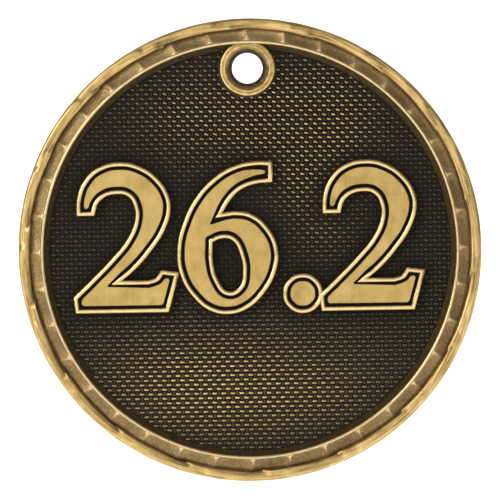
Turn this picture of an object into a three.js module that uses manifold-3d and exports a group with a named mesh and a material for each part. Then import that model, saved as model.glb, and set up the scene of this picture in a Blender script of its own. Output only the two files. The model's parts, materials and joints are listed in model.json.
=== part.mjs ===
// A cast race medal, two inches across, in an antique gold finish.
//
// Everything is laid out flat first: X to the right and Y up across the medal's face, from its
// centre, and Z up from its flat back. The last lines stand it up, with its face towards -Y and
// the centre of the hanging hole, in the plane of the back, at the origin.

import * as THREE from 'three';
import { mergeVertices } from 'three/addons/utils/BufferGeometryUtils.js';
import Module from 'manifold-3d';

const wasm = await Module();
wasm.setup();

// Driving dimensions, in millimetres. Heights are measured up from the back.
const medalRadius = 25.4;
const edgeChamfer = 0.3;
const plateHeight = 1.2;
const fieldHeight = 1.6;
const beadHeight = 2.7;
const rimHeight = 3.2;

const bandInnerRadius = 24.15;
const facetInnerRadius = 23.0;
const beadInnerRadius = 22.3;
const ringGap = 0.02; // between one ring and the next, on the radius

const holeRise = 19.95; // from the medal's centre up to the centre of the hole
const holeRadius = 1.68;
const bossRadius = 3.06;
const bossHeight = 2.4;
const sinkRadius = 2.35;
const sinkDepth = 0.65;
const bossGap = 0.04;

const scoopCount = 36;
const scoop = { centreRadius: 23.56, centreHeight: 3.12, tangential: 2.3, radial: 0.82, depth: 0.72 };

const grooveFloor = 2.1;
const numeralHeight = 2.6;
const borderWidth = 0.47;
const grooveWidth = 0.39;
const touchGap = 0.05; // where one numeral would run into the next
const cutClearance = 1; // how far a cutting solid runs on past what it cuts

const roundSegments = 72;
const bossSegments = 36;
const scoopSegments = [8, 6];
const curveSteps = 2; // straight pieces to each stretch between two points of a curve
const longestMitre = 2.3; // at a sharp inner corner, in offset distances
const offsetTolerance = 0.03; // the share by which an offset point may lie too close

// Outlines of the numerals. A point marked corner is sharp, and the curve runs smoothly through
// the points between two corners. X and Y start at the left end of the baseline.
const corner = true;
const twoOutline = [
  [0.25, 10.7, corner], [0.35, 12.75], [1.15, 14.65], [2.7, 16.05], [5.15, 16.6], [7.35, 16.1],
  [9.3, 14.7], [10.45, 12.8], [10.6, 11.2], [9.9, 9.0], [8.35, 6.7], [6.6, 4.75],
  [5.25, 3.6, corner], [8.0, 3.6, corner], [8.95, 3.95], [9.4, 4.7, corner],
  [11.5, 4.45, corner], [10.25, 0, corner], [0, 0, corner], [-0.25, 1.8, corner],
  [2.0, 3.95], [4.25, 6.25], [5.8, 8.15], [6.65, 10.2], [6.6, 11.7], [5.9, 12.8],
  [4.7, 13.05], [3.25, 12.65], [2.5, 11.75], [2.25, 10.7, corner],
];
const sixOutline = [
  [10.65, 14.35, corner], [10.65, 16.7, corner], [8.75, 16.75], [6.2, 16.2], [3.9, 14.75],
  [2.1, 12.75], [0.8, 10.25], [0.05, 7.3], [0.4, 4.2], [1.9, 1.7], [3.6, 0.35], [5.55, -0.05],
  [7.6, 0.5], [9.6, 2.3], [10.9, 4.75], [11.1, 7.2], [10.1, 9.4], [8.4, 10.9], [6.6, 11.3],
  [5.15, 11.15, corner], [5.9, 12.4], [7.15, 13.6], [8.75, 14.2],
];
const sixCounter = [
  [4.0, 7.9, corner], [5.0, 8.28], [6.1, 8.05], [6.95, 6.5], [7.2, 4.6], [6.75, 2.95],
  [5.6, 2.5], [4.55, 3.7], [4.0, 5.7],
];
const pointOutlineRadius = 2.2;
const twoStart = [-19.25, -6.75];
const sixStart = [-8.05, -7.0];
const pointCentre = [5.72, -4.86];
const lastTwoStart = [7.75, -6.85];
const ringSteps = 36;

const finishes = {
  plain: { color: 0xb08a4e, roughness: 0.45, metalness: 1 },
  hammered: { color: 0xcdae6c, roughness: 0.35, metalness: 1 },
  scooped: { color: 0x8a6f4b, roughness: 0.6, metalness: 1 },
  bright: { color: 0xe0d3a8, roughness: 0.25, metalness: 1 },
  blackened: { color: 0x2a241b, roughness: 0.55, metalness: 0.8 },
  boss: { color: 0xa07f4a, roughness: 0.4, metalness: 1 },
  border: { color: 0xe6cb88, roughness: 0.25, metalness: 1 },
  brushed: { color: 0xd4b269, roughness: 0.45, metalness: 1 },
};

// A closed triangle mesh as a solid that can be cut and joined.
function toSolid(geometry) {
  const bare = geometry.clone();
  bare.deleteAttribute('normal');
  bare.deleteAttribute('uv');
  const merged = mergeVertices(bare);
  const vertProperties = new Float32Array(merged.attributes.position.array);
  const triVerts = new Uint32Array(merged.index.array);
  return new wasm.Manifold(new wasm.Mesh({ numProp: 3, vertProperties, triVerts }));
}

function toGeometry(solid) {
  const mesh = solid.getMesh();
  const geometry = new THREE.BufferGeometry();
  geometry.setAttribute('position', new THREE.BufferAttribute(mesh.vertProperties, mesh.numProp));
  geometry.setIndex(new THREE.BufferAttribute(mesh.triVerts, 1));
  geometry.computeVertexNormals();
  return geometry;
}

// A profile of [radius, height] points turned about the Z axis. It closes on itself, or starts
// and ends on the axis, and runs anticlockwise.
function turned(profile, segments = roundSegments) {
  const points = profile.map(([radius, height]) => new THREE.Vector2(radius, height));
  return new THREE.LatheGeometry(points, segments).rotateX(Math.PI / 2);
}

function disc(radius, bottom, top, segments = roundSegments) {
  return turned([[0, bottom], [radius, bottom], [radius, top], [0, top]], segments);
}

function ring(profile) {
  return turned([...profile, profile[0]]);
}

// The points of an outline, with its smooth stretches cut into short straight pieces.
function outlinePoints(marks, start) {
  const path = new THREE.Path();
  const points = marks.map(([x, y]) => new THREE.Vector2(x + start[0], y + start[1]));
  points.push(points[0]);
  path.moveTo(points[0].x, points[0].y);
  let stretch = [];
  for (let i = 1; i < points.length; i++) {
    const isCorner = i === marks.length || marks[i][2] === corner;
    stretch.push(points[i]);
    if (!isCorner) continue;
    if (stretch.length === 1) path.lineTo(points[i].x, points[i].y);
    else path.splineThru(stretch);
    stretch = [];
  }
  return path.getPoints(curveSteps).slice(0, -1);
}

function circlePoints(centre, radius) {
  const circle = new THREE.EllipseCurve(centre[0], centre[1], radius, radius);
  return circle.getPoints(ringSteps).slice(0, -1);
}

function distanceToOutline(point, points) {
  const nearest = new THREE.Vector3();
  const target = new THREE.Vector3(point.x, point.y, 0);
  const side = new THREE.Line3();
  let least = Infinity;
  points.forEach((from, i) => {
    const to = points[(i + 1) % points.length];
    side.set(new THREE.Vector3(from.x, from.y, 0), new THREE.Vector3(to.x, to.y, 0));
    side.closestPointToPoint(target, true, nearest);
    least = Math.min(least, nearest.distanceTo(target));
  });
  return least;
}

// The outline moved sideways by a distance: inwards where it is positive, outwards where it is
// negative. Points that a corner pushes too close to the outline are dropped.
function offsetOutline(points, distance) {
  const inward = THREE.ShapeUtils.isClockWise(points) ? -1 : 1;
  const moved = points.map((point, i) => {
    const before = points[(i + points.length - 1) % points.length];
    const after = points[(i + 1) % points.length];
    const entering = point.clone().sub(before).normalize();
    const leaving = after.clone().sub(point).normalize();
    const bisector = new THREE.Vector2(-entering.y - leaving.y, entering.x + leaving.x).normalize();
    const spread = 1 / bisector.dot(new THREE.Vector2(-entering.y, entering.x));
    const reach = inward * distance * Math.min(spread, longestMitre);
    return point.clone().addScaledVector(bisector, reach);
  });
  const least = (1 - offsetTolerance) * Math.abs(distance);
  return moved.filter((point) => distanceToOutline(point, points) > least);
}

// An upright solid between two heights on an outline, with an optional hole through it.
function prism(outline, hole, bottom, top) {
  const shape = new THREE.Shape(outline);
  if (hole) shape.holes.push(new THREE.Path(hole));
  const settings = { depth: top - bottom, bevelEnabled: false, steps: 1 };
  return new THREE.ExtrudeGeometry(shape, settings).translate(0, 0, bottom);
}

function backPlate() {
  const plate = turned([
    [0, 0], [medalRadius - edgeChamfer, 0], [medalRadius, edgeChamfer],
    [medalRadius, plateHeight], [0, plateHeight],
  ]);
  const hole = disc(holeRadius, -cutClearance, plateHeight + cutClearance, bossSegments);
  hole.translate(0, holeRise, 0);
  return toGeometry(toSolid(plate).subtract(toSolid(hole)));
}

function rimBand() {
  return ring([
    [bandInnerRadius, plateHeight], [medalRadius, plateHeight], [medalRadius, rimHeight - 0.6],
    [medalRadius - 0.2, rimHeight - 0.2], [medalRadius - 0.55, rimHeight],
    [medalRadius - 0.9, rimHeight - 0.05], [bandInnerRadius, rimHeight - 0.3],
  ]);
}

// One scoop's cutting solid: a flattened ball that lies across the ring at its own angle.
function scoopCutter(index) {
  const ball = new THREE.SphereGeometry(1, ...scoopSegments).rotateX(Math.PI / 2);
  ball.scale(scoop.tangential, scoop.radial, scoop.depth);
  ball.translate(0, scoop.centreRadius, scoop.centreHeight);
  return ball.rotateZ(((index + 0.5) / scoopCount) * 2 * Math.PI);
}

function facetRing() {
  const innerRadius = facetInnerRadius + ringGap;
  const outerRadius = bandInnerRadius - ringGap;
  let solid = toSolid(ring([
    [innerRadius, plateHeight], [outerRadius, plateHeight],
    [outerRadius, rimHeight - 0.3], [innerRadius, beadHeight - 0.1],
  ]));
  for (let i = 0; i < scoopCount; i++) solid = solid.subtract(toSolid(scoopCutter(i)));
  return toGeometry(solid);
}

function beadRing() {
  const middle = (beadInnerRadius + facetInnerRadius) / 2;
  return ring([
    [beadInnerRadius, plateHeight], [facetInnerRadius, plateHeight],
    [facetInnerRadius, beadHeight - 0.15], [middle + 0.15, beadHeight],
    [middle - 0.1, beadHeight], [beadInnerRadius, beadHeight - 0.4],
  ]);
}

function wovenField() {
  const sheet = disc(beadInnerRadius - ringGap, plateHeight, fieldHeight);
  const seat = disc(bossRadius + bossGap, 0, fieldHeight + cutClearance, bossSegments);
  seat.translate(0, holeRise, 0);
  return toGeometry(toSolid(sheet).subtract(toSolid(seat)));
}

// The collar round the hanging hole. The bead cuts off its top edge.
function hangerBoss() {
  const profile = [
    [holeRadius, plateHeight], [bossRadius, plateHeight], [bossRadius, bossHeight - 0.15],
    [bossRadius - 0.15, bossHeight], [sinkRadius, bossHeight], [holeRadius, bossHeight - sinkDepth],
    [holeRadius, plateHeight],
  ];
  const collar = turned(profile, bossSegments).translate(0, holeRise, 0);
  const within = disc(beadInnerRadius - bossGap, 0, bossHeight + cutClearance);
  return toGeometry(toSolid(collar).intersect(toSolid(within)));
}

// A numeral's tray: the raised border strip, and the floor of the groove that it encloses. Where
// it would run into the next numeral, it stops just short of that one's outline.
function numeralBorder(outline, counter, neighbour) {
  const grooveEdge = offsetOutline(outline, borderWidth);
  const counterEdge = counter && offsetOutline(counter, -borderWidth);
  const block = prism(outline, counter, fieldHeight, numeralHeight);
  const pocket = prism(grooveEdge, counterEdge, grooveFloor, numeralHeight + cutClearance);
  const tray = toSolid(block).subtract(toSolid(pocket));
  if (!neighbour) return toGeometry(tray);
  const kept = offsetOutline(neighbour, -touchGap);
  const limit = prism(kept, null, 0, numeralHeight + cutClearance);
  return toGeometry(tray.subtract(toSolid(limit)));
}

// The flat face that stands inside the groove.
function numeralFace(outline, counter) {
  const inset = borderWidth + grooveWidth;
  const faceEdge = offsetOutline(outline, inset);
  const counterEdge = counter && offsetOutline(counter, -inset);
  return prism(faceEdge, counterEdge, grooveFloor, numeralHeight);
}

function addPiece(group, name, geometry, finish) {
  const mesh = new THREE.Mesh(geometry, new THREE.MeshStandardMaterial(finishes[finish]));
  mesh.name = name;
  group.add(mesh);
}

const medal = new THREE.Group();
addPiece(medal, 'back_plate', backPlate(), 'plain');
addPiece(medal, 'rim_band', rimBand(), 'hammered');
addPiece(medal, 'facet_ring', facetRing(), 'scooped');
addPiece(medal, 'bead_ring', beadRing(), 'bright');
addPiece(medal, 'woven_field', wovenField(), 'blackened');
addPiece(medal, 'hanger_boss', hangerBoss(), 'boss');

const six = outlinePoints(sixOutline, sixStart);
const point = circlePoints(pointCentre, pointOutlineRadius);
const numerals = [
  { name: 'first_two', outline: outlinePoints(twoOutline, twoStart), neighbour: six },
  { name: 'six', outline: six, counter: outlinePoints(sixCounter, sixStart) },
  { name: 'point', outline: point },
  { name: 'last_two', outline: outlinePoints(twoOutline, lastTwoStart), neighbour: point },
];
for (const { name, outline, counter, neighbour } of numerals) {
  addPiece(medal, `${name}_border`, numeralBorder(outline, counter, neighbour), 'border');
  addPiece(medal, `${name}_face`, numeralFace(outline, counter), 'brushed');
}

medal.rotation.x = Math.PI / 2;
medal.position.z = -holeRise;

export default medal;
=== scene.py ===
import json
import math
import random

import bmesh
import bpy
from mathutils import Matrix, Vector
from mathutils.bvhtree import BVHTree


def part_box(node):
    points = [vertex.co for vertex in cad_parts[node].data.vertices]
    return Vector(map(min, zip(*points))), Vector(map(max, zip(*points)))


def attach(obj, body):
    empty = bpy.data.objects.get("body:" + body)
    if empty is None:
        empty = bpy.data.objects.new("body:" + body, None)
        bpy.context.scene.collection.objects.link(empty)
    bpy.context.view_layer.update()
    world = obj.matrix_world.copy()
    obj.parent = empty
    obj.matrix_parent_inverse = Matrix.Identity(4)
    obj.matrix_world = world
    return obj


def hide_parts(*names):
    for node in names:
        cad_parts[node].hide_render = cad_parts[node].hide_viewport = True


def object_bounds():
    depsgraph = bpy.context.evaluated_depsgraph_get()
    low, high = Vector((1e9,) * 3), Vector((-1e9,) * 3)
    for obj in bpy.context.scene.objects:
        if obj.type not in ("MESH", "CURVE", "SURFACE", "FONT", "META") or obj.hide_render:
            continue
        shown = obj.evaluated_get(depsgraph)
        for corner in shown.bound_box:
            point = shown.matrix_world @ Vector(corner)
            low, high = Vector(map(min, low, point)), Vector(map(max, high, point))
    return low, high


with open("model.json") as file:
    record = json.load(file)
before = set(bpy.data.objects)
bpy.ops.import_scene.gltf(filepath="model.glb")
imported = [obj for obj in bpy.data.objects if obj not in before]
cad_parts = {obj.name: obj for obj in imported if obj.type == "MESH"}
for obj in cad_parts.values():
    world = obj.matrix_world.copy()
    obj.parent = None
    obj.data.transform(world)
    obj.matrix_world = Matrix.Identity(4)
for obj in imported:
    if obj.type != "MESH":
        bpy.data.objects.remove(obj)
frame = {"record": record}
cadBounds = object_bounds()

# The pieces are drawn flat, in millimetres: X to the right and Y up across the face, from the
# medal's centre, and Z up from the flat back. standUp puts them where the frame has them.
plateLow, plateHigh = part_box("back_plate")
medalMiddle = (plateLow + plateHigh) / 2
standUp = (Matrix.Translation((medalMiddle.x, plateHigh.y, medalMiddle.z))
           @ Matrix.Rotation(math.radians(90), 4, "X") @ Matrix.Scale(0.001, 4))
layFlat = standUp.inverted()


def flatBox(node):
    ends = [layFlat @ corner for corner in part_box(node)]
    return Vector(map(min, *ends)), Vector(map(max, *ends))


medalRadius = flatBox("rim_band")[1].x
bandTop = flatBox("rim_band")[1].z
scoopOuter = flatBox("facet_ring")[1].x
beadOuter = flatBox("bead_ring")[1].x
beadTop = flatBox("bead_ring")[1].z
fieldRadius = flatBox("woven_field")[1].x
plateTop = flatBox("back_plate")[1].z
fieldTop = flatBox("woven_field")[1].z
bossRadius = flatBox("hanger_boss")[1].x
bossTop = flatBox("hanger_boss")[1].z
numeralTop = flatBox("six_border")[1].z
grooveFloor = flatBox("six_face")[0].z
holeCentre = layFlat @ Vector(frame["record"]["mounts"][0]["pos_m"])
holeCentre.z = 0
print("frame loaded, medal radius", round(medalRadius, 2), "mm")


overlap = 0.01  # how far one piece reaches down into the one below it


# --- small tools ---

def smoothStep(low, high, value):
    t = min(max((value - low) / (high - low), 0), 1)
    return t * t * (3 - 2 * t)


def clockAngle(co):
    # degrees clockwise from the top of the medal
    return math.degrees(math.atan2(co.x, co.y)) % 360


def softShade(bm, sharpAngle=35):
    for face in bm.faces:
        face.smooth = True
    for edge in bm.edges:
        if len(edge.link_faces) == 2 and edge.calc_face_angle(0) > math.radians(sharpAngle):
            edge.smooth = False


def vertsIn(geom):
    return [g for g in geom if isinstance(g, bmesh.types.BMVert)]


def bevelled(bm, geom, offset, segments, affect="EDGES"):
    bmesh.ops.bevel(bm, geom=geom, offset=offset, segments=segments, affect=affect,
                    profile=0.5, material=-1)


def spunRing(profile, steps, centre=(0, 0, 0)):
    # a closed profile of (radius, height) pairs, turned round an upright axis
    bm = bmesh.new()
    corners = [bm.verts.new((centre[0] + r, centre[1], z)) for r, z in profile]
    edges = [bm.edges.new((a, b)) for a, b in zip(corners, corners[1:] + corners[:1])]
    bmesh.ops.spin(bm, geom=corners + edges, cent=centre, axis=(0, 0, 1), dvec=(0, 0, 0),
                   angle=2 * math.pi, steps=steps, use_merge=True)
    bmesh.ops.remove_doubles(bm, verts=bm.verts, dist=1e-5)
    bmesh.ops.recalc_face_normals(bm, faces=bm.faces)
    return bm


def arcPoints(centre, radius, startAngle, endAngle, count):
    # part of a round corner in a profile, angles in degrees
    turns = [math.radians(startAngle + (endAngle - startAngle) * i / (count - 1)) for i in range(count)]
    return [(centre[0] + radius * math.cos(t), centre[1] + radius * math.sin(t)) for t in turns]


def addPiece(name, bm, materials, node):
    bmesh.ops.transform(bm, matrix=standUp, verts=bm.verts)
    mesh = bpy.data.meshes.new(name)
    bm.to_mesh(mesh)
    bm.free()
    piece = bpy.data.objects.new(name, mesh)
    bpy.context.scene.collection.objects.link(piece)
    for material in materials:
        mesh.materials.append(material)
    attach(piece, "root")
    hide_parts(node)
    return piece


# --- materials ---

class Finish:
    # a metal finish and short ways to wire up its nodes

    def __init__(self, name, roughness, metallic=1.0):
        self.material = bpy.data.materials.new(name)
        self.material.use_nodes = True
        self.nodes = self.material.node_tree.nodes
        self.links = self.material.node_tree.links
        self.shader = self.nodes["Principled BSDF"]
        self.shader.inputs["Metallic"].default_value = metallic
        self.shader.inputs["Roughness"].default_value = roughness
        self.place = self.nodes.new("ShaderNodeTexCoord").outputs["Object"]

    def link(self, fromSocket, toSocket):
        self.links.new(fromSocket, toSocket)
        return fromSocket

    def noise(self, scale, detail=2.0, stretch=(1, 1, 1), turn=0):
        # turn leans a stretched noise over, in degrees across the face
        turned = self.nodes.new("ShaderNodeMapping")
        turned.inputs["Rotation"].default_value = (0, math.radians(turn), 0)
        self.link(self.place, turned.inputs["Vector"])
        mapping = self.nodes.new("ShaderNodeMapping")
        mapping.inputs["Scale"].default_value = [scale * s for s in stretch]
        self.link(turned.outputs[0], mapping.inputs["Vector"])
        node = self.nodes.new("ShaderNodeTexNoise")
        node.inputs["Scale"].default_value = 1.0
        node.inputs["Detail"].default_value = detail
        self.link(mapping.outputs[0], node.inputs["Vector"])
        return node.outputs["Fac"]

    def ringPlace(self):
        # the angle round the medal in radians, then how far out and how far back, in millimetres
        centred = self.nodes.new("ShaderNodeMapping")
        centred.inputs["Location"].default_value = [-1000 * n for n in medalMiddle]
        centred.inputs["Scale"].default_value = (1000, 1000, 1000)
        self.link(self.place, centred.inputs["Vector"])
        split = self.nodes.new("ShaderNodeSeparateXYZ")
        self.link(centred.outputs[0], split.inputs[0])
        turn = self.maths("ARCTAN2", split.outputs["X"], split.outputs["Z"])
        out = self.maths("SQRT", self.maths("ADD", self.maths("POWER", split.outputs["X"], 2.0),
                                            self.maths("POWER", split.outputs["Z"], 2.0)))
        return turn, out, split.outputs["Y"]

    def ringNoise(self, along, across, detail=2.0):
        # a noise that runs round the medal; along and across are marks to a millimetre
        turn, out, back = self.ringPlace()
        joined = self.nodes.new("ShaderNodeCombineXYZ")
        self.link(self.maths("MULTIPLY", turn, along * medalRadius), joined.inputs["X"])
        self.link(self.maths("MULTIPLY", out, across), joined.inputs["Y"])
        self.link(self.maths("MULTIPLY", back, across), joined.inputs["Z"])
        node = self.nodes.new("ShaderNodeTexNoise")
        node.inputs["Scale"].default_value = 1.0
        node.inputs["Detail"].default_value = detail
        self.link(joined.outputs[0], node.inputs["Vector"])
        return node.outputs["Fac"]

    def ramp(self, value, stops):
        node = self.nodes.new("ShaderNodeValToRGB")
        elements = node.color_ramp.elements
        while len(elements) < len(stops):
            elements.new(0.5)
        for element, (position, colour) in zip(elements, stops):
            element.position = position
            element.color = (*colour, 1)
        self.link(value, node.inputs["Fac"])
        return node.outputs["Color"]

    def rescale(self, value, low, high, newLow, newHigh):
        node = self.nodes.new("ShaderNodeMapRange")
        limits = {"From Min": low, "From Max": high, "To Min": newLow, "To Max": newHigh}
        for name, number in limits.items():
            node.inputs[name].default_value = number
        self.link(value, node.inputs["Value"])
        return node.outputs["Result"]

    def maths(self, operation, first, second=0.0):
        node = self.nodes.new("ShaderNodeMath")
        node.operation = operation
        for socket, value in zip(node.inputs, (first, second)):
            if isinstance(value, bpy.types.NodeSocket):
                self.link(value, socket)
            else:
                socket.default_value = value
        return node.outputs[0]

    def attribute(self, name):
        node = self.nodes.new("ShaderNodeAttribute")
        node.attribute_name = name
        return node.outputs["Fac"]

    def axis(self, letter):
        node = self.nodes.new("ShaderNodeSeparateXYZ")
        self.link(self.place, node.inputs[0])
        return node.outputs[letter]

    def bump(self, height, strength, distance):
        node = self.nodes.new("ShaderNodeBump")
        node.inputs["Strength"].default_value = strength
        node.inputs["Distance"].default_value = distance
        self.link(height, node.inputs["Height"])
        if self.shader.inputs["Normal"].is_linked:
            self.link(self.shader.inputs["Normal"].links[0].from_socket, node.inputs["Normal"])
        self.link(node.outputs[0], self.shader.inputs["Normal"])

    def colour(self, socket):
        self.link(socket, self.shader.inputs["Base Color"])

    def roughness(self, socket):
        self.link(socket, self.shader.inputs["Roughness"])


tones = {
    "ivory": (0.76, 0.71, 0.59),
    "paleGold": (0.78, 0.62, 0.33),
    "gold": (0.62, 0.44, 0.175),
    "deepGold": (0.42, 0.275, 0.095),
    "tan": (0.46, 0.31, 0.132),
    "brown": (0.175, 0.115, 0.053),
    "umber": (0.065, 0.046, 0.024),
    "black": (0.013, 0.011, 0.009),
}


def bandFinish():
    f = Finish("hammeredGold", 0.36)
    streaks = f.ringNoise(0.3, 7.0, 4)
    mottle = f.noise(1100, 4)
    toneLevel = f.maths("ADD", f.attribute("tone"), f.rescale(streaks, 0.32, 0.68, -0.24, 0.24))
    toneLevel = f.maths("ADD", toneLevel, f.rescale(mottle, 0.3, 0.7, -0.07, 0.07))
    gold = f.ramp(toneLevel, [(0.0, tones["umber"]), (0.22, tones["brown"]), (0.45, tones["deepGold"]),
                         (0.68, tones["gold"]), (0.95, tones["paleGold"])])
    f.colour(gold)
    f.roughness(f.rescale(streaks, 0.3, 0.7, 0.3, 0.48))
    f.bump(streaks, 0.25, 0.00004)
    f.bump(f.noise(3400, 3), 0.2, 0.00003)
    return f.material


def scoopFinish():
    f = Finish("scoopedBrown", 0.5)
    grain = f.noise(4200, 3)
    streaks = f.ringNoise(2.5, 9.0, 3)
    toneLevel = f.maths("ADD", f.attribute("tone"), f.rescale(grain, 0.3, 0.7, -0.06, 0.06))
    toneLevel = f.maths("ADD", toneLevel, f.rescale(streaks, 0.3, 0.7, -0.07, 0.07))
    f.colour(f.ramp(toneLevel, [(0.0, tones["umber"]), (0.25, tones["brown"]), (0.55, tones["tan"]),
                           (0.85, tones["paleGold"])]))
    f.roughness(f.rescale(toneLevel, 0.2, 0.9, 0.55, 0.34))
    f.bump(grain, 0.3, 0.00003)
    return f.material


def beadFinish():
    f = Finish("brightBead", 0.3)
    mottle = f.ringNoise(1.5, 5.0, 3)
    toneLevel = f.maths("ADD", f.attribute("tone"), f.rescale(mottle, 0.3, 0.7, -0.09, 0.09))
    f.colour(f.ramp(toneLevel, [(0.0, tones["black"]), (0.12, (0.043, 0.032, 0.016)),
                           (0.45, (0.155, 0.085, 0.02)), (0.65, tones["gold"]), (1.0, tones["ivory"])]))
    f.link(f.rescale(f.attribute("tone"), 0.45, 0.75, 0.1, 1.0), f.shader.inputs["Metallic"])
    f.shader.inputs["Specular IOR Level"].default_value = 0.15
    f.roughness(f.rescale(mottle, 0.3, 0.7, 0.25, 0.4))
    f.bump(f.noise(3000, 2), 0.15, 0.00003)
    return f.material


def weaveFinish():
    v = wovenField
    f = Finish("blackenedWeave", 0.45)
    grain = f.noise(6000, 3)
    toneLevel = f.maths("ADD", f.attribute("tone"), f.rescale(grain, 0.3, 0.7, -0.07, 0.07))
    low, high = medalMiddle.z - 0.014, medalMiddle.z - 0.007
    toneLevel = f.maths("ADD", toneLevel, f.rescale(f.axis("Z"), low, high, v["lowerLift"], 0.0))
    f.colour(f.ramp(toneLevel, [(0.0, (0.017, 0.014, 0.011)), (0.25, (0.078, 0.065, 0.042)),
                           (0.5, (0.24, 0.175, 0.085)), (1.0, (0.72, 0.52, 0.22))]))
    f.roughness(f.rescale(toneLevel, 0.0, 1.0, 0.55, 0.38))
    f.bump(grain, 0.3, 0.00002)
    return f.material


def borderFinish():
    f = Finish("borderGold", 0.26)
    mottle = f.noise(1800, 3)
    toneLevel = f.maths("ADD", f.attribute("tone"), f.rescale(mottle, 0.3, 0.7, -0.07, 0.07))
    # the ramp runs from dark brown flanks to a pale crest: metal polished on the high crest, with a painted
    # highlight on the crest and painted shade on the flanks
    f.colour(f.ramp(toneLevel, [(0.0, (0.10, 0.055, 0.018)), (0.3, (0.30, 0.165, 0.042)),
                           (0.65, (0.46, 0.31, 0.11)), (1.0, (0.76, 0.60, 0.31))]))
    f.roughness(f.rescale(mottle, 0.3, 0.7, 0.22, 0.36))
    f.bump(f.noise(4200, 2), 0.15, 0.00002)
    return f.material


def grooveFinish():
    f = Finish("grooveBlack", 0.3, metallic=0.0)
    f.shader.inputs["Specular IOR Level"].default_value = 0.06
    f.colour(f.ramp(f.noise(3000, 3), [(0.3, (0.0045, 0.0035, 0.0025)), (0.7, (0.011, 0.009, 0.0065))]))
    f.roughness(f.rescale(f.noise(2000, 2), 0.3, 0.7, 0.25, 0.45))
    return f.material


def faceFinish():
    f = Finish("brushedGold", 0.42)
    strokes = f.noise(6000, 3, stretch=(1, 1, 0.06))
    slants = f.noise(5200, 3, stretch=(1, 1, 0.07), turn=-38)
    mottle = f.noise(620, 5)
    specks = f.noise(2300, 4)
    toneLevel = f.maths("ADD", f.rescale(strokes, 0.3, 0.7, 0.4, 0.6), f.rescale(mottle, 0.35, 0.7, -0.22, 0.2))
    toneLevel = f.maths("ADD", toneLevel, f.rescale(slants, 0.56, 0.72, 0.0, -0.16))
    toneLevel = f.maths("ADD", toneLevel, f.rescale(specks, 0.64, 0.76, 0.0, -0.4))
    f.colour(f.ramp(toneLevel, [(0.0, (0.33, 0.21, 0.075)), (0.35, (0.48, 0.33, 0.107)),
                           (0.65, (0.56, 0.388, 0.134)), (1.0, (0.66, 0.48, 0.2))]))
    f.roughness(f.rescale(strokes, 0.3, 0.7, 0.36, 0.5))
    f.bump(strokes, 0.2, 0.00002)
    f.bump(slants, 0.15, 0.00002)
    return f.material


def bossFinish():
    f = Finish("bossGold", 0.4)
    mottle = f.noise(2000, 4)
    toneLevel = f.maths("ADD", f.attribute("tone"), f.rescale(mottle, 0.3, 0.7, -0.1, 0.1))
    f.colour(f.ramp(toneLevel, [(0.0, tones["black"]), (0.28, (0.05, 0.039, 0.025)), (0.45, tones["brown"]),
                           (0.7, tones["deepGold"]), (0.88, tones["gold"]), (1.0, tones["paleGold"])]))
    f.link(f.rescale(f.attribute("tone"), 0.3, 0.6, 0.1, 1.0), f.shader.inputs["Metallic"])
    f.shader.inputs["Specular IOR Level"].default_value = 0.1
    f.roughness(f.rescale(mottle, 0.3, 0.7, 0.3, 0.48))
    f.bump(mottle, 0.2, 0.00003)
    return f.material


def backFinish():
    f = Finish("satinBack", 0.42)
    strokes = f.noise(5200, 3, stretch=(0.035, 1, 1))
    scratches = f.noise(4200, 3, stretch=(0.05, 1, 1), turn=33)
    mottle = f.noise(190, 6)
    pits = f.noise(3800, 4)
    turn, out, back = f.ringPlace()
    toneLevel = f.maths("ADD", f.rescale(strokes, 0.3, 0.7, 0.42, 0.6), f.rescale(mottle, 0.3, 0.7, -0.06, 0.06))
    toneLevel = f.maths("ADD", toneLevel, f.rescale(scratches, 0.58, 0.74, 0.0, -0.22))
    toneLevel = f.maths("ADD", toneLevel, f.rescale(out, medalRadius - 3.5, medalRadius - 0.3, 0.0, -0.2))
    toneLevel = f.maths("ADD", toneLevel, f.rescale(pits, 0.64, 0.76, 0.0, -0.35))
    f.colour(f.ramp(toneLevel, [(0.0, tones["brown"]), (0.3, (0.33, 0.22, 0.085)), (0.55, (0.48, 0.335, 0.13)),
                           (0.8, (0.6, 0.44, 0.19))]))
    f.roughness(f.rescale(strokes, 0.3, 0.7, 0.3, 0.46))
    f.bump(strokes, 0.2, 0.00002)
    f.bump(pits, 0.15, 0.00003)
    return f.material


def setTone(bm, rule, name="tone"):
    # stores a tone for each point, from 0 to 1: how far it is polished back to bright metal, and on the
    # numeral borders, the hammered band and the scooped ring also painted shade, with a painted highlight
    # on the borders' crest
    layer = bm.verts.layers.float.new(name)
    for vert in bm.verts:
        vert[layer] = rule(vert.co)


# --- back plate ---

backPlate = {"edgeRound": 0.3, "boreRound": 0.12, "outerSteps": 288, "boreSteps": 72}


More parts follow.
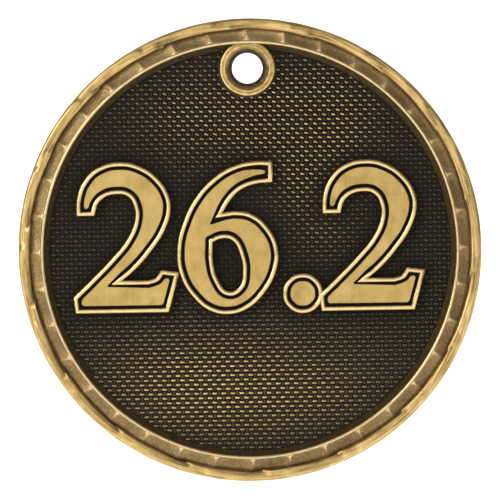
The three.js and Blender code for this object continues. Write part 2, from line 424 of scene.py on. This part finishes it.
def makeBackPlate():
    v = backPlate
    bm = bmesh.new()
    boreRadius = boreSize["radius"]
    bmesh.ops.create_circle(bm, segments=v["outerSteps"], radius=medalRadius)
    bmesh.ops.create_circle(bm, segments=v["boreSteps"], radius=boreRadius,
                            matrix=Matrix.Translation(holeCentre))
    bmesh.ops.triangle_fill(bm, edges=bm.edges, use_beauty=True)
    raised = bmesh.ops.extrude_face_region(bm, geom=list(bm.faces), use_keep_orig=True)["geom"]
    bmesh.ops.translate(bm, vec=(0, 0, plateTop), verts=vertsIn(raised))
    bmesh.ops.recalc_face_normals(bm, faces=bm.faces)
    backEdges = [e for e in bm.edges if all(p.co.z < 1e-6 for p in e.verts)]
    outer = [e for e in backEdges if all(abs(p.co.xy.length - medalRadius) < 1e-3 for p in e.verts)]
    bore = [e for e in backEdges
            if all(abs((p.co - holeCentre).xy.length - boreRadius) < 1e-3 for p in e.verts)]
    bevelled(bm, outer, v["edgeRound"], 4)
    bevelled(bm, bore, v["boreRound"], 3)
    for face in bm.faces:
        if face.calc_center_median().xy.length > medalRadius - 0.01:
            face.material_index = 1
    setTone(bm, lambda co: 0.5)
    softShade(bm)
    addPiece("plainBack", bm, [backFinish(), bandFinish()], "back_plate")
    print("back plate made")


boreSize = {"radius": 1.68}


# --- hammered band ---

hammeredBand = {"marks": 18, "firstRidge": 10.0, "lean": 9.0, "depth": 0.22, "weakest": 0.5,
                "innerWave": 0.17, "steps": 1080, "outerRound": 0.4, "innerRadius": 24.1,
                "topRub": 0.55, "brinkTone": 0.22}


def hammerPhase(co):
    # how far along its hammer mark a point is, from 0 to 1, and which mark that is
    v = hammeredBand
    across = (co.xy.length - v["innerRadius"]) / (medalRadius - v["innerRadius"])
    turned = clockAngle(co) - v["firstRidge"] - v["lean"] * (1 - min(max(across, 0), 1))
    marks = turned / (360 / v["marks"])
    return marks % 1, math.floor(marks) % v["marks"]


def hammerHeight(phase):
    # drops at the ridge, then climbs slowly back to the next one
    return smoothStep(0.0, 0.9, phase) * (1 - smoothStep(0.93, 1.0, phase))


def makeHammeredBand():
    v = hammeredBand
    inner, rounding = v["innerRadius"], v["outerRound"]
    wallFoot = plateTop - overlap
    crest = arcPoints((medalRadius - rounding, bandTop - rounding), rounding, 0, 90, 7)
    slope = [(inner + 0.34, bandTop - 0.01), (inner + 0.25, bandTop - 0.04), (inner + 0.17, bandTop - 0.1),
             (inner + 0.1, bandTop - 0.2), (inner + 0.05, bandTop - 0.34), (inner, bandTop - 0.56)]
    profile = [(inner, wallFoot), (medalRadius, wallFoot), (medalRadius, wallFoot + 0.5), *crest, *slope]
    bm = spunRing(profile, v["steps"])
    draw = random.Random(18)
    strengths = [draw.uniform(v["weakest"], 1) for mark in range(v["marks"])]
    for vert in bm.verts:
        phase, mark = hammerPhase(vert.co)
        height = hammerHeight(phase) * strengths[mark]
        raised = smoothStep(bandTop - 0.9, bandTop - 0.3, vert.co.z)
        vert.co.z -= v["depth"] * (1 - height) * raised
        nearInner = 1 - smoothStep(inner, inner + 0.5, vert.co.xy.length)
        wave = v["innerWave"] * (0.5 - height) * nearInner
        vert.co.xy *= 1 + wave / vert.co.xy.length

    def toneAt(co):
        out = co.xy.length
        across = (out - inner) / (medalRadius - inner)
        slope = smoothStep(inner, inner + 0.3, out)
        # start darkens the first part of each hammer mark, where it lies lowest, and the lower value at the
        # inner brink darkens the band's inner slope next to the scoops: patina in these low spots, with
        # painted shade on top of it
        start = (1 - smoothStep(0.0, 0.55, hammerPhase(co)[0])) * (1 - smoothStep(0.45, 0.85, across))
        edge = smoothStep(medalRadius - 0.25, medalRadius, out)
        side = smoothStep(bandTop - 1.2, bandTop - 0.6, co.z)
        start *= smoothStep(inner, inner + 0.25, out)
        onTop = v["brinkTone"] + (v["topRub"] - v["brinkTone"]) * slope - 0.24 * start - 0.03 * edge
        return onTop * side + 0.5 * (1 - side)

    setTone(bm, toneAt)
    softShade(bm, 50)
    addPiece("hammeredBand", bm, [bandFinish()], "rim_band")
    print("hammered band made")


# --- scooped ring ---

scoopedRing = {"scoops": 36, "stepsEach": 30, "rings": 14, "innerTop": 2.6, "outerTop": 2.45,
               "bowl": 0.28, "hollowPower": 2.6, "beadEnd": 0.75, "cornerPower": 6.0, "firstScoopRub": 0.1,
               "bowlRub": 0.34, "ridgeRub": 0.38}


def scoopPlace(co):
    # across is -1 to 1 from ridge to ridge, along is 0 at the bead and 1 at the band
    v = scoopedRing
    across = ((clockAngle(co) / (360 / v["scoops"])) % 1) * 2 - 1
    along = (co.xy.length - beadOuter) / (hammeredBand["innerRadius"] - beadOuter)
    return across, min(max(along, 0), 1)


def scoopDepth(across, along):
    v = scoopedRing
    hollow = 1 - abs(across) ** v["hollowPower"]
    return hollow * smoothStep(-0.45, v["beadEnd"], along)


def makeScoopedRing():
    v = scoopedRing
    inner, outer = beadOuter - 0.12, hammeredBand["innerRadius"] + 0.2
    floor = plateTop - overlap
    rise = v["innerTop"] - v["outerTop"]
    top = []
    for i in range(v["rings"] + 1):
        share = i / v["rings"]
        top.append((outer + (inner - outer) * share, v["outerTop"] + rise * share))
    bm = spunRing([(inner, floor), (outer, floor), *top], v["scoops"] * v["stepsEach"])
    for vert in bm.verts:
        if vert.co.z > floor + 0.5:
            across, along = scoopPlace(vert.co)
            vert.co.z -= v["bowl"] * scoopDepth(across, along)

    draw = random.Random(9)
    scoopRubs = [draw.uniform(-0.035, 0.035) for scoop in range(v["scoops"])]
    scoopRubs[0] = v["firstScoopRub"]

    def toneAt(co):
        across, along = scoopPlace(co)
        nearBead = 0.95 * (1 - along)
        edge = (abs(across) ** v["cornerPower"] + nearBead ** v["cornerPower"]) ** (1 / v["cornerPower"])
        ridge = smoothStep(0.94, 1.01, edge) * (1 - smoothStep(0.3, 0.75, along))
        shade = smoothStep(0.8, 1.0, along)
        own = scoopRubs[int(clockAngle(co) / (360 / v["scoops"])) % v["scoops"]]
        return v["bowlRub"] + own + v["ridgeRub"] * ridge - 0.12 * shade

    setTone(bm, toneAt)
    softShade(bm, 60)
    addPiece("scoopedRing", bm, [scoopFinish()], "facet_ring")
    print("scooped ring made")


# --- bead ---

beadRing = {"steps": 360, "crestWidth": 0.38, "crestShift": -0.02, "footReach": 0.2,
            "crestRub": 0.72, "wallRub": 0.17}


def makeBead():
    v = beadRing
    half = v["crestWidth"] / 2
    middle = beadOuter - v["crestShift"] - half
    crest = arcPoints((middle, beadTop - half), half, 0, 180, 11)
    foot = fieldRadius - v["footReach"]
    wall = [(middle - half - 0.03, beadTop - 0.35), (middle - half - 0.1, beadTop - 0.55),
            (foot + 0.06, fieldTop + 0.08), (foot, fieldTop - 0.12), (foot, plateTop - overlap)]
    outside = [(beadOuter, plateTop - overlap), (beadOuter, beadTop - 0.35)]
    bm = spunRing([*outside, *crest, *wall], v["steps"])
    def toneAt(co):
        return max(smoothStep(beadTop - 0.3, beadTop - 0.1, co.z) * v["crestRub"], v["wallRub"])

    setTone(bm, toneAt)
    softShade(bm, 50)
    addPiece("brightBead", bm, [beadFinish()], "bead_ring")
    print("bead made")


# --- boss round the hanging hole ---

hangingBoss = {"steps": 144, "crestInner": 2.4, "outerRound": 0.26, "innerRound": 0.1, "dish": 0.05,
               "skirt": 0.2, "sinkDepth": 0.6, "topRub": 0.72}


def makeBoss():
    v = hangingBoss
    low, bore, deep = plateTop - overlap, boreSize["radius"], v["sinkDepth"]
    outerMiddle = bossRadius - v["outerRound"]
    outer = arcPoints((outerMiddle, bossTop - v["outerRound"]), v["outerRound"], 0, 95, 8)
    dish = [((outerMiddle + v["crestInner"]) / 2, bossTop - v["dish"])]
    innerMiddle = (v["crestInner"] + v["innerRound"], bossTop - v["innerRound"])
    inner = arcPoints(innerMiddle, v["innerRound"], 85, 160, 5)
    sink = [(bore + 0.3, bossTop - deep * 0.62), (bore + 0.1, bossTop - deep * 0.88),
            (bore, bossTop - deep * 1.1), (bore, low)]
    skirtRadius = bossRadius + v["skirt"]
    skirt = [(skirtRadius, low), (skirtRadius, fieldTop - 0.1), (bossRadius, bossTop - 0.4)]
    bm = spunRing([*skirt, *outer, *dish, *inner, *sink], v["steps"], centre=tuple(holeCentre))

    def toneAt(co):
        out = (co - holeCentre).xy.length
        top = smoothStep(bossTop - 0.3, bossTop - 0.06, co.z)
        flank = smoothStep(bossRadius - 0.1, bossRadius, out)
        outerLine = smoothStep(bossRadius - 0.22, bossRadius - 0.16, out)
        innerLine = 1 - smoothStep(v["crestInner"] + 0.06, v["crestInner"] + 0.13, out)
        return max((v["topRub"] + 0.2 * max(outerLine, innerLine)) * top, 0.3 * flank, 0.22)

    setTone(bm, toneAt)
    softShade(bm, 50)
    addPiece("hangingBoss", bm, [bossFinish()], "hanger_boss")
    print("boss made")


# --- woven field ---

wovenField = {"columnPitch": 1.0, "rowPitch": 0.5, "columnStart": 0.38, "rowStart": -0.25,
              "weftLength": 0.58, "weftWidth": 0.28, "weftLean": -15.0, "warpLength": 0.5,
              "warpWidth": 0.32,
              "warpDrop": 0.2, "thickness": 0.3, "bedTop": 1.34, "shelter": 2.0,
              "dullWeft": 0.29, "dullWarp": 0.18, "upperShrink": 0.2, "lowerLift": 0.04,
              "edgeGap": 0.08, "numeralGap": 0.01}

# where the tops of the weave are made brighter, and darker for a negative amount: centre, radius and how
# much, in the flat layout
tonePatches = [
    ((7.5, 14.0), (6.5, 6.0), 0.95), ((-6.0, 15.0), (6.5, 5.0), 0.52),
    ((0.5, 13.5), (5.0, 4.0), 0.3), ((5.3, 7.5), (2.6, 4.0), 0.4),
    ((8.3, 1.7), (2.8, 2.4), 0.35), ((-5.0, -15.0), (11.0, 5.6), 0.68),
    ((7.5, -15.5), (7.0, 5.0), 0.22), ((-2.45, -1.8), (1.7, 2.9), -0.2)]
mostTone = 0.66


def weaveTone(x, y):
    total = 0
    for centre, reach, amount in tonePatches:
        far = ((x - centre[0]) / reach[0]) ** 2 + ((y - centre[1]) / reach[1]) ** 2
        total += amount * math.exp(-far)
    return min(total, mostTone)


def threadTemplate(length, width, thickness):
    # one float of a thread: a rounded pillow, a little thicker at its left end
    bm = bmesh.new()
    bmesh.ops.create_cube(bm, size=1)
    bmesh.ops.scale(bm, vec=(length, width, thickness), verts=bm.verts)
    upright = [e for e in bm.edges if abs(e.verts[0].co.z - e.verts[1].co.z) > thickness / 2]
    bevelled(bm, upright, width * 0.4, 2)
    upper = [e for e in bm.edges if all(p.co.z > 0 for p in e.verts)]
    bevelled(bm, upper, width * 0.26, 1)
    for vert in bm.verts:
        vert.co.y *= 1.0 - 0.3 * (vert.co.x / length + 0.5) ** 2
    mesh = bpy.data.meshes.new("threadTemplate")
    bm.to_mesh(mesh)
    bm.free()
    return mesh


def weaveSpots(crossing, numerals):
    # every place in the field where a float of one direction lies on top, and how far off a numeral is
    v = wovenField
    edge = fieldRadius - beadRing["footReach"] - v["edgeGap"]
    reach = int(fieldRadius / v["rowPitch"]) + 1
    for row in range(-reach, reach + 1):
        y = v["rowStart"] + row * v["rowPitch"]
        shift = v["columnStart"] + ((row + crossing) % 2) * v["columnPitch"] / 2
        for column in range(-reach, reach + 1):
            x = shift + column * v["columnPitch"]
            gap = numerals.find_nearest((x, y, 0))[3]
            offBoss = math.hypot(x, y - holeCentre.y) > bossRadius
            if math.hypot(x, y) < edge and offBoss and gap > v["numeralGap"]:
                yield x, y, gap


def makeThreads(name, template, crossing, drop, numerals, finish):
    v = wovenField
    draw = random.Random(26 + crossing)
    bm = bmesh.new()
    threadTones = []
    for x, y, gap in weaveSpots(crossing, numerals):
        slant = v["weftLean"] * smoothStep(-9, 9, y) if crossing == 0 else 90
        turn = Matrix.Rotation(math.radians(slant + draw.uniform(-5, 5)), 4, "Z")
        height = fieldTop - v["thickness"] / 2 - drop + draw.uniform(-0.015, 0.015)
        placed = template.copy()
        size = 1 - v["upperShrink"] * smoothStep(-7, 3, y)
        scaled = Matrix.Diagonal((size, size, 1, 1))
        placed.transform(Matrix.Translation((x, y, height)) @ turn @ scaled)
        bm.from_mesh(placed)
        bpy.data.meshes.remove(placed)
        # threads are darker the nearer they lie to a numeral, and take the brighter patches on their tops
        openness = 0.62 + 0.38 * smoothStep(0.2, v["shelter"], gap)
        if crossing == 0:
            threadTones.append(openness * (v["dullWeft"] + weaveTone(x, y) * draw.uniform(0.8, 1.15)))
        else:
            threadTones.append(openness * (v["dullWarp"] + 0.1 * weaveTone(x, y)))
    layer = bm.verts.layers.float.new("tone")
    low, high = fieldTop - drop - v["thickness"] * 0.5, fieldTop - drop - 0.02
    for number, vert in enumerate(bm.verts):
        top = smoothStep(low, high, vert.co.z)
        vert[layer] = threadTones[number // len(template.vertices)] * (0.2 + 0.8 * top)
    softShade(bm, 80)
    piece = addPiece(name, bm, [finish], "woven_field")
    print(name, "made,", len(piece.data.polygons), "faces")


def makeWeave():
    v = wovenField
    finish = weaveFinish()
    numerals = numeralTree()
    weft = threadTemplate(v["weftLength"], v["weftWidth"], v["thickness"])
    warp = threadTemplate(v["warpLength"], v["warpWidth"], v["thickness"])
    makeThreads("weftThreads", weft, 0, 0.0, numerals, finish)
    makeThreads("warpThreads", warp, 1, v["warpDrop"], numerals, finish)
    bed = bmesh.new()
    bmesh.ops.create_circle(bed, segments=180, radius=fieldRadius + 0.1)
    bmesh.ops.create_circle(bed, segments=60, radius=bossRadius - 0.3,
                            matrix=Matrix.Translation(holeCentre))
    bmesh.ops.triangle_fill(bed, edges=bed.edges, use_beauty=True)
    raised = bmesh.ops.extrude_face_region(bed, geom=list(bed.faces), use_keep_orig=True)["geom"]
    bmesh.ops.translate(bed, vec=(0, 0, v["bedTop"] - plateTop), verts=vertsIn(raised))
    bmesh.ops.translate(bed, vec=(0, 0, plateTop), verts=bed.verts)
    bmesh.ops.recalc_face_normals(bed, faces=bed.faces)
    addPiece("weaveBed", bed, [finish], "woven_field")
    print("weave bed made")


# --- numerals ---

numeralCut = {"borderWidth": 0.53, "grooveWidth": 0.31, "foot": 1.3, "flare": 0.09,
              "faceCorner": 0.27, "curveSteps": 6, "borderMitre": 1.6, "faceMitre": 2.3,
              "tipReach": 2.4, "tipSlim": 0.42}

# The border's section from its outer wall to its inner one, and the face's from its edge inwards:
# each step goes in by the first number and up by the second.
borderSteps = [(0.03, 0.08), (0.05, 0.06), (0.08, 0.04), (0.11, 0.015), (0.11, -0.015),
               (0.08, -0.05), (0.07, -0.1)]
faceSteps = [(0.02, 0.05), (0.05, 0.03)]

# Points of the numerals' outlines. "corner" is a sharp one, "notch" is a sharp one that points into
# the metal, "joint" is where a straight stretch meets a curve, and the others are smooth. X and Y
# start at the left end of the baseline.
twoOutline = [
    (0.25, 10.7, "corner"), (0.35, 12.75), (1.15, 14.65), (2.7, 16.05), (5.15, 16.6), (7.35, 16.1),
    (9.3, 14.7),
    (10.45, 12.8), (10.6, 11.2), (9.9, 9.0), (8.35, 6.7), (6.6, 4.75), (5.25, 3.6, "notch"),
    (8.0, 3.6, "joint"), (8.95, 3.95), (9.4, 4.7, "corner"), (11.5, 4.45, "corner"), (10.25, 0, "corner"),
    (0, 0, "corner"), (-0.25, 1.8, "corner"), (2.0, 3.95), (4.25, 6.25), (5.8, 8.15), (6.65, 10.2),
    (6.6, 11.7),
    (5.9, 12.8), (4.7, 13.05), (3.25, 12.65), (2.5, 11.75), (2.25, 10.7, "corner")]
sixOutline = [
    (10.65, 14.35, "corner"), (10.65, 16.7, "corner"), (8.75, 16.75), (6.2, 16.2), (3.9, 14.75),
    (2.1, 12.75),
    (0.8, 10.25), (0.05, 7.3), (0.4, 4.2), (1.9, 1.7), (3.6, 0.35), (5.55, -0.05), (7.6, 0.5), (9.6, 2.3),
    (10.9, 4.75), (11.1, 7.2), (10.1, 9.4), (8.4, 10.9), (6.6, 11.3), (5.15, 11.15, "notch"), (5.9, 12.4),
    (7.15, 13.6), (8.75, 14.2)]
sixCounter = [
    (4.0, 7.9, "notch"), (5.0, 8.28), (6.1, 8.05), (6.95, 6.5), (7.2, 4.6), (6.75, 2.95), (5.6, 2.5),
    (4.55, 3.7), (4.0, 5.7)]


sixTip = (9.8, 15.5)


def roundOutline(radius):
    return arcPoints((0, 0), radius, 0, 315, 8)


def outlineEdges(bm, outlines, start):
    # draws each outline as a curve, and turns it into edges
    v = numeralCut
    for outline in outlines:
        curve = bpy.data.curves.new("outline", "CURVE")
        curve.dimensions = "2D"
        curve.fill_mode = "NONE"
        curve.resolution_u = v["curveSteps"]
        spline = curve.splines.new("BEZIER")
        spline.use_cyclic_u = True
        spline.bezier_points.add(len(outline) - 1)
        for point, spot in zip(spline.bezier_points, outline):
            point.co = (spot[0] + start[0], spot[1] + start[1], 0)
            point.handle_left_type = point.handle_right_type = "VECTOR" if len(spot) > 2 else "AUTO"
        drawn = bpy.data.objects.new("outline", curve)
        bpy.context.scene.collection.objects.link(drawn)
        depsgraph = bpy.context.evaluated_depsgraph_get()
        mesh = bpy.data.meshes.new_from_object(drawn.evaluated_get(depsgraph))
        bm.from_mesh(mesh)
        bpy.data.meshes.remove(mesh)
        bpy.data.objects.remove(drawn)
        bpy.data.curves.remove(curve)
        for spot in outline:
            if len(spot) > 2 and spot[2] == "corner":
                keepCornersClear(bm, Vector((spot[0] + start[0], spot[1] + start[1], 0)))


def keepCornersClear(bm, corner):
    # an offset would fold where points crowd a sharp corner, so a straight stretch is left there
    v = numeralCut
    tip = min(bm.verts, key=lambda p: (p.co - corner).length)
    clear = 1.3 * (v["borderWidth"] + v["grooveWidth"]) * math.tan(math.radians(sharpness(tip) / 2))
    crowd = [p for p in bm.verts if p != tip and (p.co - corner).length < clear and sharpness(p) < 25]
    bmesh.ops.dissolve_verts(bm, verts=crowd)


def sharpness(vert):
    # how far the outline turns at this point, in degrees
    ends = [e.other_vert(vert).co for e in vert.link_edges]
    return math.degrees((vert.co - ends[0]).angle(ends[1] - vert.co, 0))


def filledOutline(outlines, start):
    bm = bmesh.new()
    outlineEdges(bm, outlines, start)
    bmesh.ops.triangle_fill(bm, edges=bm.edges, use_beauty=True)
    bmesh.ops.recalc_face_normals(bm, faces=bm.faces)
    if bm.faces[:][0].normal.z < 0:
        bmesh.ops.reverse_faces(bm, faces=bm.faces)
    return bm


def stepIn(bm, faces, steps):
    for inward, upward in steps:
        bmesh.ops.inset_region(bm, faces=faces, thickness=inward, depth=upward, use_boundary=True,
                               use_even_offset=True)


def shortenMitres(faces, notches, inward, share):
    # draws back the long points that an offset leaves at the notches
    reach = inward * share
    for notch in notches:
        for vert in {p for f in faces for p in f.verts}:
            arm = vert.co.xy - notch
            if reach < arm.length < inward * 3 and sharpInRim(vert, faces):
                vert.co.xy = notch + arm * (reach / arm.length)


def sharpInRim(vert, faces):
    rim = [e for e in vert.link_edges if len([f for f in e.link_faces if f in faces]) == 1]
    if len(rim) != 2:
        return False
    ends = [e.other_vert(vert).co for e in rim]
    return math.degrees((vert.co - ends[0]).angle(ends[1] - vert.co, 0)) > 40


def slimTip(bm, tip):
    # the face draws in towards the end of the six's arm
    v = numeralCut
    for vert in bm.verts:
        near = 1 - smoothStep(0, v["tipReach"], (vert.co - tip).length)
        vert.co.y = tip.y + (vert.co.y - tip.y) * (1 - v["tipSlim"] * near)


def notchesOf(outlines, start):
    return [Vector((p[0] + start[0], p[1] + start[1])) for o in outlines for p in o
            if len(p) > 2 and p[2] == "notch"]


def makeBorder(name, node, outlines, start, finishes):
    v = numeralCut
    notches = notchesOf(outlines, start)
    crestLow = numeralTop - 0.2
    bm = filledOutline(outlines, start)
    bmesh.ops.translate(bm, vec=(0, 0, crestLow), verts=bm.verts)
    outerRim = [e for e in bm.edges if e.is_boundary]
    inner = set(bm.faces)
    stepIn(bm, list(inner), borderSteps)
    shortenMitres(inner, notches, v["borderWidth"], v["borderMitre"])
    stepIn(bm, list(inner), [(0.0, grooveFloor - min(p.co.z for f in inner for p in f.verts))])
    for face in inner:
        face.material_index = 1
    skirt = bmesh.ops.extrude_edge_only(bm, edges=outerRim)["geom"]
    bm.normal_update()
    for vert in vertsIn(skirt):
        vert.co.z = v["foot"]
    bm.normal_update()
    for vert in vertsIn(skirt):
        vert.co.xy += vert.normal.xy.normalized() * v["flare"]
    bmesh.ops.triangle_fill(bm, edges=[e for e in bm.edges if e.is_boundary], use_beauty=True)
    bmesh.ops.recalc_face_normals(bm, faces=bm.faces)
    # painted pale at the crest and dark on the flanks by height: partly polish on the high crest, partly a
    # painted highlight there and painted shade on the flanks
    setTone(bm, lambda co: smoothStep(numeralTop - 0.14, numeralTop + 0.01, co.z))
    softShade(bm, 50)
    materials = [finishes["border"], finishes["groove"]]
    addPiece(name + "Border", bm, materials, node + "_border")


def makeFace(name, node, outlines, start, finishes):
    v = numeralCut
    notches = notchesOf(outlines, start)
    bm = filledOutline(outlines, start)
    inner = set(bm.faces)
    stepIn(bm, list(inner), [(v["borderWidth"], 0.0)])
    stepIn(bm, list(inner), [(v["grooveWidth"], 0.0)])
    shortenMitres(inner, notches, v["borderWidth"] + v["grooveWidth"], v["faceMitre"])
    bmesh.ops.delete(bm, geom=[f for f in bm.faces if f not in inner], context="FACES")
    rim = [e for e in bm.edges if e.is_boundary]
    bmesh.ops.delete(bm, geom=[e for e in bm.edges if e not in rim], context="EDGES")
    bmesh.ops.delete(bm, geom=list(bm.faces), context="FACES_ONLY")
    if name == "six":
        slimTip(bm, Vector((start[0] + sixTip[0], start[1] + sixTip[1], bm.verts[:][0].co.z)))
    points = [p for p in bm.verts if len(p.link_edges) == 2 and sharpness(p) > 35]
    bevelled(bm, points, v["faceCorner"], 3, affect="VERTICES")
    bmesh.ops.triangle_fill(bm, edges=list(bm.edges), use_beauty=True)
    if bm.faces[:][0].normal.z < 0:
        bmesh.ops.reverse_faces(bm, faces=bm.faces)
    bmesh.ops.translate(bm, vec=(0, 0, numeralTop - 0.08), verts=bm.verts)
    outerRim = [e for e in bm.edges if e.is_boundary]
    stepIn(bm, list(bm.faces), faceSteps)
    skirt = bmesh.ops.extrude_edge_only(bm, edges=outerRim)["geom"]
    for vert in vertsIn(skirt):
        vert.co.z = grooveFloor - 0.02
    bmesh.ops.triangle_fill(bm, edges=[e for e in bm.edges if e.is_boundary], use_beauty=True)
    bmesh.ops.recalc_face_normals(bm, faces=bm.faces)
    softShade(bm, 20)
    addPiece(name + "Face", bm, [finishes["face"]], node + "_face")


numerals = {"firstTwo": ("first_two", [twoOutline], (-19.25, -6.75)),
            "six": ("six", [sixOutline, sixCounter], (-8.05, -7.0)),
            "point": ("point", [roundOutline(2.2)], (5.72, -4.86)),
            "lastTwo": ("last_two", [twoOutline], (7.75, -6.85))}


def numeralTree():
    # the numerals' outlines, laid flat, for finding how near they are
    flat = bmesh.new()
    for node, outlines, start in numerals.values():
        one = filledOutline(outlines, start)
        mesh = bpy.data.meshes.new("flatNumeral")
        one.to_mesh(mesh)
        one.free()
        flat.from_mesh(mesh)
        bpy.data.meshes.remove(mesh)
    tree = BVHTree.FromBMesh(flat)
    flat.free()
    return tree


def makeNumerals():
    finishes = {"border": borderFinish(), "groove": grooveFinish(), "face": faceFinish()}
    for name, (node, outlines, start) in numerals.items():
        makeBorder(name, node, outlines, start, finishes)
        makeFace(name, node, outlines, start, finishes)
        print(name, "made")


def startRun():
    makeBackPlate()
    makeHammeredBand()
    makeScoopedRing()
    makeBead()
    makeBoss()
    makeWeave()
    makeNumerals()


startRun()


# --- stage, light and camera ---

stageSet = {"width": 3.0, "front": -1.6, "back": 0.9, "drop": 0.08, "bend": 0.25, "height": 1.4}
viewSet = {"lens": 300, "frameWidth": 54.78, "roll": 0.88, "rise": 1.0}


def makeStage():
    v = stageSet
    low = cadBounds[0].z - v["drop"]
    bm = bmesh.new()
    bend = arcPoints((v["back"] - v["bend"], low + v["bend"]), v["bend"], -90, 0, 13)
    line = [(v["front"], low), *bend, (v["back"], low + v["height"])]
    verts = [bm.verts.new((-v["width"] / 2, y, z)) for y, z in line]
    edges = [bm.edges.new(pair) for pair in zip(verts, verts[1:])]
    swept = bmesh.ops.extrude_edge_only(bm, edges=edges)["geom"]
    bmesh.ops.translate(bm, vec=(v["width"], 0, 0), verts=vertsIn(swept))
    bmesh.ops.recalc_face_normals(bm, faces=bm.faces)
    softShade(bm, 60)
    mesh = bpy.data.meshes.new("paleSweep")
    bm.to_mesh(mesh)
    bm.free()
    sweep = bpy.data.objects.new("paleSweep", mesh)
    bpy.context.scene.collection.objects.link(sweep)
    material = bpy.data.materials.new("palePaper")
    material.use_nodes = True
    shader = material.node_tree.nodes["Principled BSDF"]
    shader.inputs["Base Color"].default_value = (0.9, 0.9, 0.9, 1)
    shader.inputs["Roughness"].default_value = 0.9
    shader.inputs["Emission Color"].default_value = (1, 1, 1, 1)
    shader.inputs["Emission Strength"].default_value = 0.85
    mesh.materials.append(material)


def addSoftbox(name, direction, distance, size, power, colour=(1, 1, 1)):
    data = bpy.data.lights.new(name, "AREA")
    data.shape = "RECTANGLE"
    data.size, data.size_y = size
    data.energy = power
    data.color = colour
    lamp = bpy.data.objects.new(name, data)
    lamp.location = medalMiddle + Vector(direction).normalized() * distance
    lamp.rotation_euler = (medalMiddle - lamp.location).to_track_quat("-Z", "Y").to_euler()
    lamp.visible_camera = False
    bpy.context.scene.collection.objects.link(lamp)


def makeLights():
    addSoftbox("keyUpperLeft", (-0.62, -0.85, 0.32), 0.9, (0.26, 0.26), 3.0)
    addSoftbox("fillBelow", (0.10, -0.85, -0.55), 0.9, (0.5, 0.35), 1.2)
    addSoftbox("frontCard", (0.0, -1.0, 0.12), 1.3, (0.9, 0.9), 1.2)
    world = bpy.data.worlds.new("studio")
    world.use_nodes = True
    nodes, links = world.node_tree.nodes, world.node_tree.links
    nodes["Background"].inputs["Color"].default_value = (1, 1, 1, 1)
    nodes["Background"].inputs["Strength"].default_value = 0.4
    seen = nodes.new("ShaderNodeBackground")
    seen.inputs["Strength"].default_value = 0.98
    mix = nodes.new("ShaderNodeMixShader")
    links.new(nodes.new("ShaderNodeLightPath").outputs["Is Camera Ray"], mix.inputs[0])
    links.new(nodes["Background"].outputs[0], mix.inputs[1])
    links.new(seen.outputs[0], mix.inputs[2])
    links.new(mix.outputs[0], nodes["World Output"].inputs["Surface"])
    bpy.context.scene.world = world
    bpy.context.scene.view_settings.view_transform = "Standard"


def makeCamera():
    data = bpy.data.cameras.new("camera")
    data.sensor_width = 36
    data.lens = viewSet["lens"]
    distance = viewSet["frameWidth"] * data.lens / data.sensor_width / 1000
    camera = bpy.data.objects.new("camera", data)
    turn = (Matrix.Rotation(math.radians(viewSet["roll"]), 3, "Y")
            @ Matrix.Rotation(math.radians(90 - viewSet["rise"]), 3, "X"))
    camera.rotation_euler = turn.to_euler()
    rim = Vector((medalMiddle.x, cadBounds[0].y, medalMiddle.z))
    camera.location = rim + turn @ Vector((0, 0, distance))
    data.clip_start, data.clip_end = 0.01, 20
    bpy.context.scene.collection.objects.link(camera)
    bpy.context.scene.camera = camera


makeStage()
makeLights()
makeCamera()
print("stage, light and camera set")
